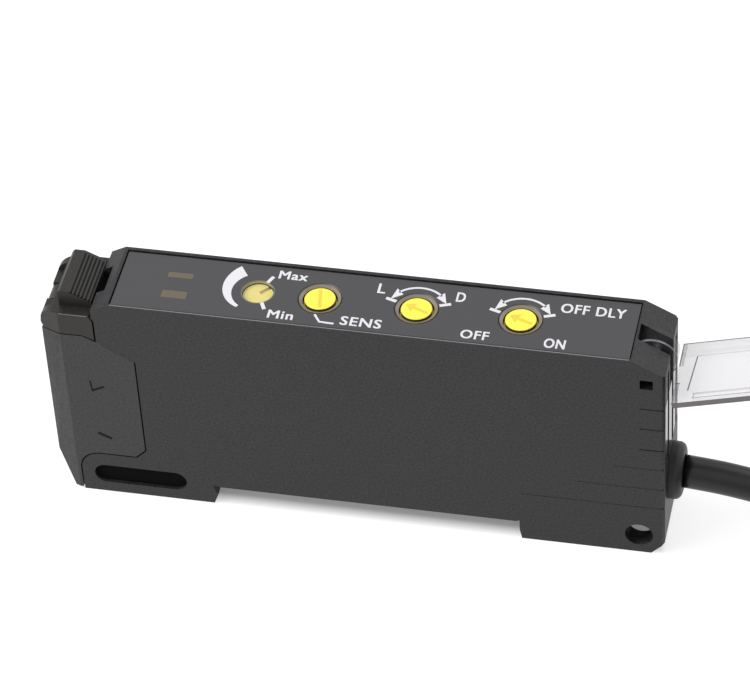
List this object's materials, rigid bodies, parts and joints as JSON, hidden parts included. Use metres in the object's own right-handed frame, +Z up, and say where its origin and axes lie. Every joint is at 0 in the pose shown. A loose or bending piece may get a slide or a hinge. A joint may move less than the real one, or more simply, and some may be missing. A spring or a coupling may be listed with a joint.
{
  "type": "fibre optic sensor amplifier",
  "caption": "Slim rail-mounted fibre optic sensor amplifier with smoked top panel, yellow adjusters, fibre lock lever, hinged clear cover and attached cable.",
  "frame": {"origin": "middle of the rail seat, the flat face between the two feet", "axes": "+X to the cable end, +Y to the far side wall, +Z up from the rail to the panel"},
  "size_m": [0.1429, 0.064, 0.0396],
  "materials": {
    "case_plastic": "fine moulded texture",
    "block_plastic": "fine moulded texture",
    "lever_plastic": "satin moulded",
    "panel_plastic": "smoked, satin",
    "adjuster_yellow": "moulded",
    "clear_plastic": "clear moulded",
    "window_plastic": "clear moulded",
    "guide_plastic": "smoked translucent",
    "pin_steel": "ground",
    "clamp_plastic": "moulded",
    "emitter_resin": "clear cast",
    "receiver_resin": "dark cast",
    "board_laminate": "solder resist",
    "chip_resin": "moulded",
    "trimmer_plastic": "moulded",
    "switch_plastic": "moulded",
    "header_plastic": "moulded",
    "lamp_green": "clear cast",
    "lamp_orange": "clear cast",
    "gland_rubber": "moulded",
    "cable_sheath": "satin extruded",
    "tie_nylon": "moulded",
    "lead_brown": "extruded",
    "lead_blue": "extruded",
    "lead_black": "extruded"
  },
  "bodies": {
    "case": {"main_case": "case_plastic", "side_cover": "case_plastic", "top_panel": "panel_plastic", "front_block": "block_plastic", "lever_pin": "pin_steel", "emitter_led": "emitter_resin", "receiver_photodiode": "receiver_resin", "optics_board": "board_laminate", "circuit_board": "board_laminate", "controller_chip": "chip_resin", "amplifier_chip": "chip_resin", "output_transistor": "chip_resin", "cable_header": "header_plastic", "sensitivity_trimmer": "trimmer_plastic", "mode_switch": "switch_plastic", "delay_switch": "switch_plastic", "stability_led": "lamp_green", "output_led": "lamp_orange", "stability_light_guide": "guide_plastic", "output_light_guide": "guide_plastic", "hinge_pin": "pin_steel", "cable_gland": "gland_rubber", "cable": "cable_sheath", "cable_coil": "cable_sheath", "cable_tie": "tie_nylon", "cable_tail": "cable_sheath", "lead_brown": "lead_brown", "lead_blue": "lead_blue", "lead_black": "lead_black", "dial_window": "window_plastic"},
    "lever": {"lock_lever": "lever_plastic"},
    "clamp": {"fibre_clamp": "clamp_plastic"},
    "cover": {"protective_cover": "clear_plastic"},
    "screw": {"sensitivity_screw": "adjuster_yellow"},
    "dial": {"indicator_dial": "adjuster_yellow"},
    "mode": {"mode_knob": "adjuster_yellow"},
    "delay": {"delay_knob": "adjuster_yellow"}
  },
  "joints": [
    {"name": "cover_hinge", "type": "hinge", "parent": "case", "child": "cover", "pos_m": [0.0324, 0, 0.0238], "axis": [0, -1, 0], "range_deg": [0, 164]},
    {"name": "lever_hinge", "type": "hinge", "parent": "case", "child": "lever", "pos_m": [-0.0356, 0, 0.02279], "axis": [0, -1, 0], "range_deg": [0, 70]},
    {"name": "clamp_slide", "type": "slide", "parent": "case", "child": "clamp", "axis": [0, 0, 1], "range_m": [0, 0.0005]},
    {"name": "sensitivity_turn", "type": "hinge", "parent": "case", "child": "screw", "pos_m": [-0.005, 0, 0.0242], "axis": [0, 0, 1], "range_deg": [0, 2880]},
    {"name": "dial_turn", "type": "hinge", "parent": "case", "child": "dial", "pos_m": [-0.01207, 0, 0.0242], "axis": [0, 0, 1], "range_deg": [0, 240]},
    {"name": "mode_turn", "type": "hinge", "parent": "case", "child": "mode", "pos_m": [0.0059, 0, 0.0242], "axis": [0, 0, 1], "range_deg": [-140, 0]},
    {"name": "delay_turn", "type": "hinge", "parent": "case", "child": "delay", "pos_m": [0.01757, 0, 0.0242], "axis": [0, 0, 1], "range_deg": [-140, 0]}
  ],
  "couplings": [
    {"joint": "lever_hinge", "follows": "clamp_slide", "rad_per_m": 2443.4},
    {"joint": "dial_turn", "follows": "sensitivity_turn", "ratio": 0.083333}
  ]
}
